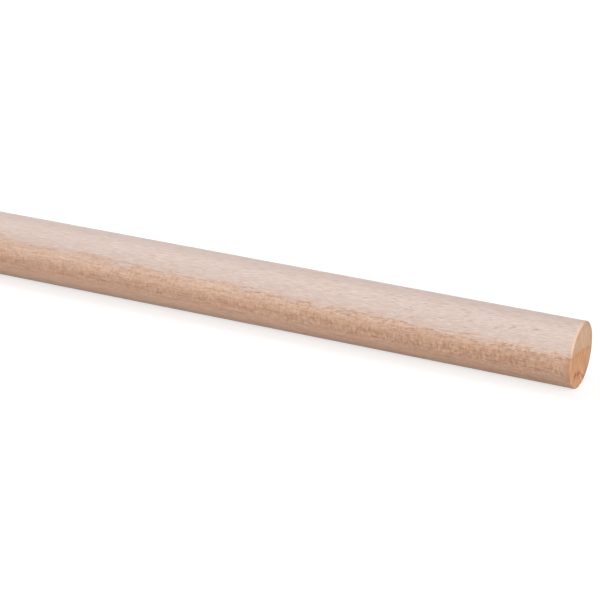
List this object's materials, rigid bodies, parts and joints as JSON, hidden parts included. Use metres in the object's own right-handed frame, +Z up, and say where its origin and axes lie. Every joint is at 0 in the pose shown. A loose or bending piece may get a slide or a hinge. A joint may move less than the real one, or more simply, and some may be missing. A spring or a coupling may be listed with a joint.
{
  "type": "wooden dowel rod",
  "caption": "Plain round hardwood dowel rod with a smooth straight side and square-sawn ends with lightly eased edges.",
  "frame": {"origin": "middle of the rod, on its axis", "axes": "+X along the rod's axis and grain, towards the near end; +Z up, with the rod lying level"},
  "size_m": [0.3, 0.02, 0.02],
  "materials": {
    "beech": "raw steamed beech, machined round and finely sanded, sawn end grain"
  },
  "bodies": {
    "root": {"dowel_rod": "beech"}
  },
  "joints": []
}
